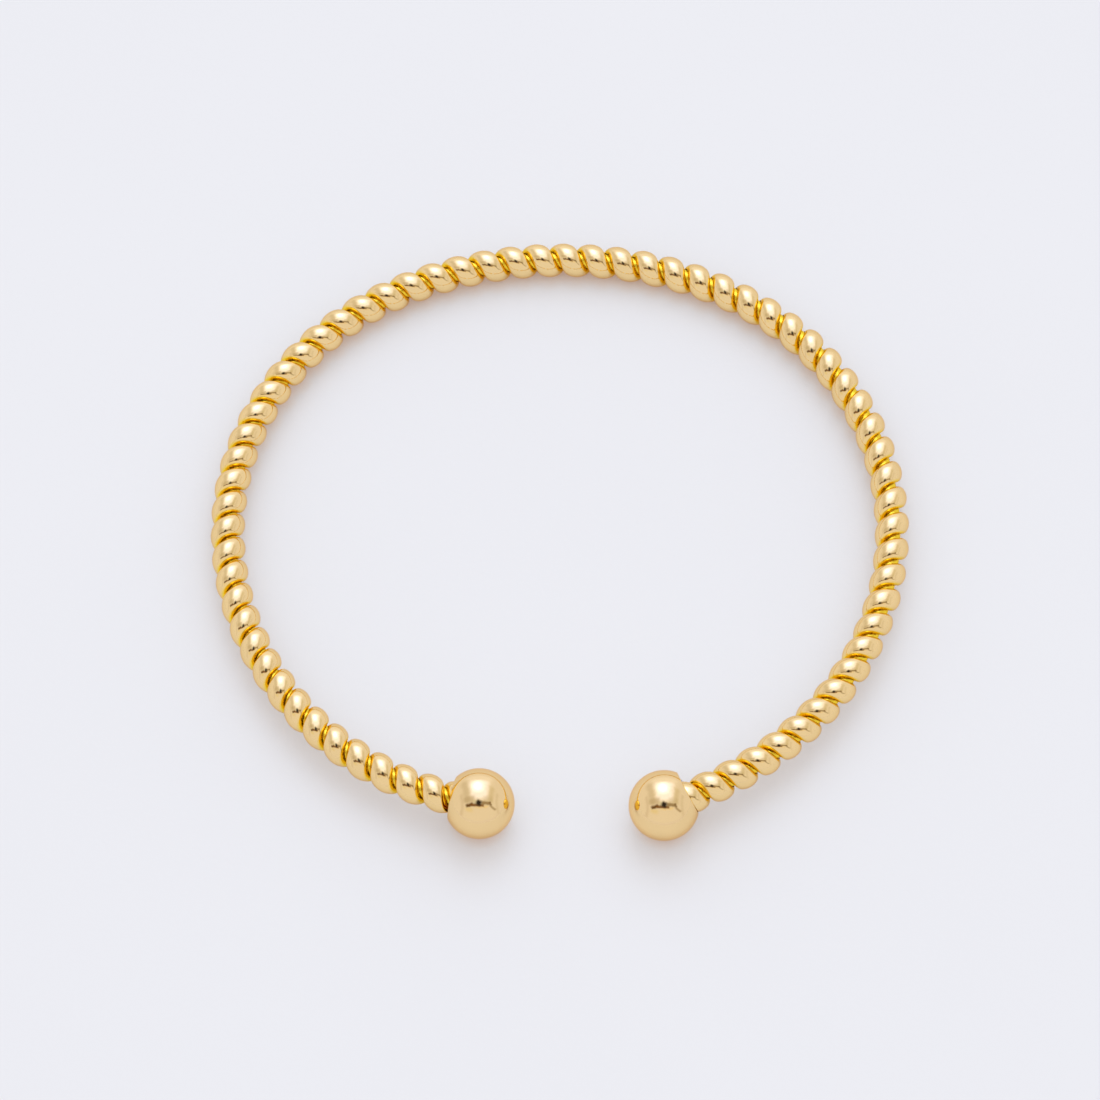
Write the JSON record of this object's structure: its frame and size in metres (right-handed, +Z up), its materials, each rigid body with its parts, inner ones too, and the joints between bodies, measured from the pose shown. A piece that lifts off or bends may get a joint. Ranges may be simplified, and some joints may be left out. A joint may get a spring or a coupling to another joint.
{
  "type": "twisted rope bangle",
  "caption": "Open oval cuff bangle of wire wound round a core like a rope, with a polished ball on each end; the wrist goes in through the gap between the balls.",
  "frame": {"origin": "on the surface that the bangle lies on, under the middle of its box", "axes": "+Z up, with the bangle lying on its side as it rests; +X to the right across its width; -Y towards the open side with the ball ends"},
  "size_m": [0.0606, 0.0588, 0.006],
  "materials": {
    "gold_plate": "bright polished yellow gold plate"
  },
  "bodies": {
    "root": {"core_wire": "gold_plate", "wound_wire": "gold_plate", "ball_left": "gold_plate", "ball_right": "gold_plate"}
  },
  "joints": []
}
